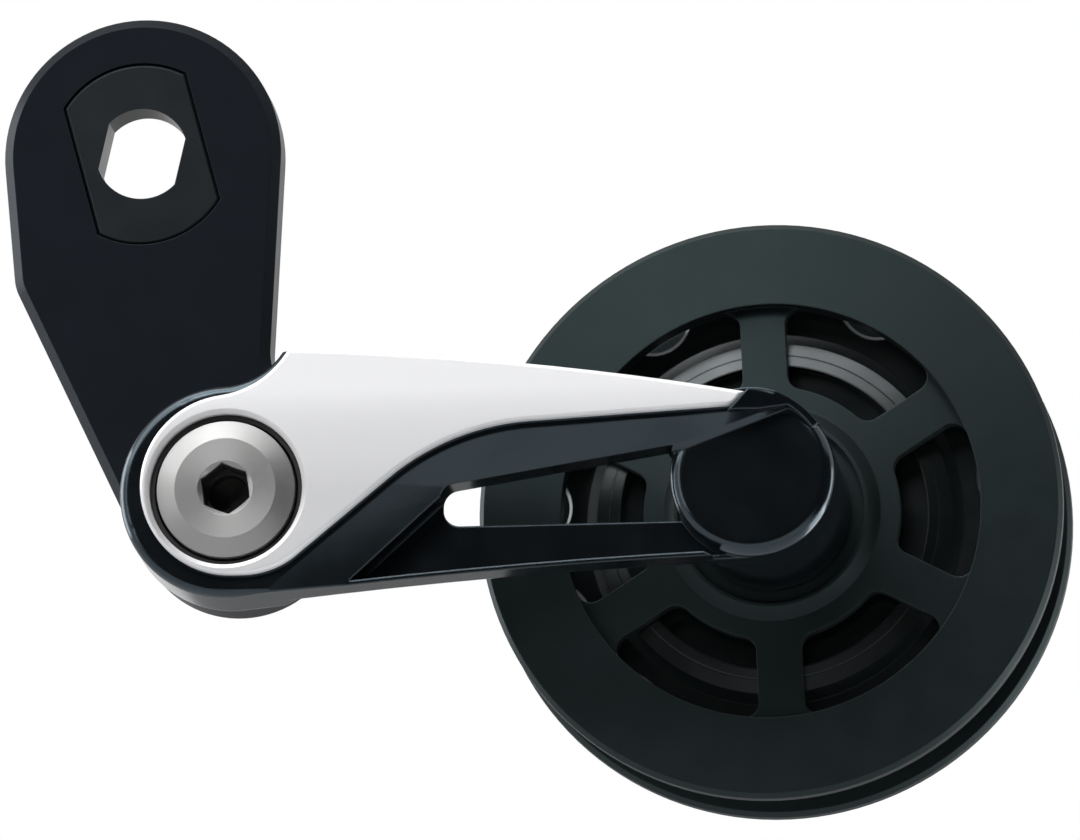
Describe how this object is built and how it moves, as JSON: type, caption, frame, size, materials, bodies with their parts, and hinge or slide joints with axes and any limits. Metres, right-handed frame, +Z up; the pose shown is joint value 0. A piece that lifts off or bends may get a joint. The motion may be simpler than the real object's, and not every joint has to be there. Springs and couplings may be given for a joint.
{
  "type": "bicycle chain tensioner",
  "caption": "Sprung single-pulley chain tensioner: a chamfered hanger plate for the hub axle, a cast swing arm with a cover plate, and a toothed pulley between spoked guide plates.",
  "frame": {"origin": "centre of the flatted axle hole, at the hanger plate's inboard face", "axes": "+X forward along the bicycle, +Y inboard along the hub axle, +Z up"},
  "size_m": [0.114, 0.0363, 0.0853],
  "materials": {
    "black_plate": "satin black coating, bevels worn a little brighter",
    "black_insert": "smooth black coating",
    "gloss_black_arm": "gloss black paint on a casting",
    "silver_cover": "fine metallic silver",
    "bright_bolt": "turned bright metal",
    "steel": "zinc plated",
    "bearing_steel": "ground",
    "spring_steel": "oiled wire",
    "bronze": "sintered",
    "seal_rubber": "matte",
    "bearing_plastic": "moulded",
    "pulley_plastic": "fine-grained charcoal moulding",
    "wheel_plastic": "smooth charcoal moulding"
  },
  "bodies": {
    "hanger": {"hanger_plate": "black_plate", "axle_insert": "black_insert", "pivot_shaft": "steel", "pivot_bolt": "bright_bolt", "thrust_washer": "bearing_plastic", "stop_pin": "steel"},
    "arm": {"tension_arm": "gloss_black_arm", "arm_cover": "silver_cover", "front_seal_ring": "seal_rubber", "pivot_bush_front": "bronze", "pivot_bush_rear": "bronze", "torsion_spring": "spring_steel", "pulley_bolt": "steel", "pulley_washer": "steel", "front_dust_cap": "bearing_plastic", "bearing_inner_ring": "bearing_steel"},
    "pulley": {"toothed_wheel": "wheel_plastic", "front_guide_plate": "pulley_plastic", "rear_guide_plate": "pulley_plastic", "bearing_outer_ring": "bearing_steel", "bearing_balls": "bearing_steel", "bearing_cage": "bearing_plastic", "front_bearing_shield": "bearing_steel", "rear_bearing_shield": "bearing_steel"}
  },
  "joints": [
    {"name": "arm_swing", "type": "hinge", "parent": "hanger", "child": "arm", "pos_m": [0.0104, -0.0105, -0.0394], "axis": [0, 1, 0], "range_deg": [0, 60], "stiffness_Nm_per_rad": 0.6, "springref_deg": -51.57, "deforming": ["torsion_spring"]},
    {"name": "pulley_spin", "type": "hinge", "parent": "arm", "child": "pulley", "pos_m": [0.0671, 0.0135, -0.0384], "axis": [0, 1, 0], "continuous": true}
  ]
}
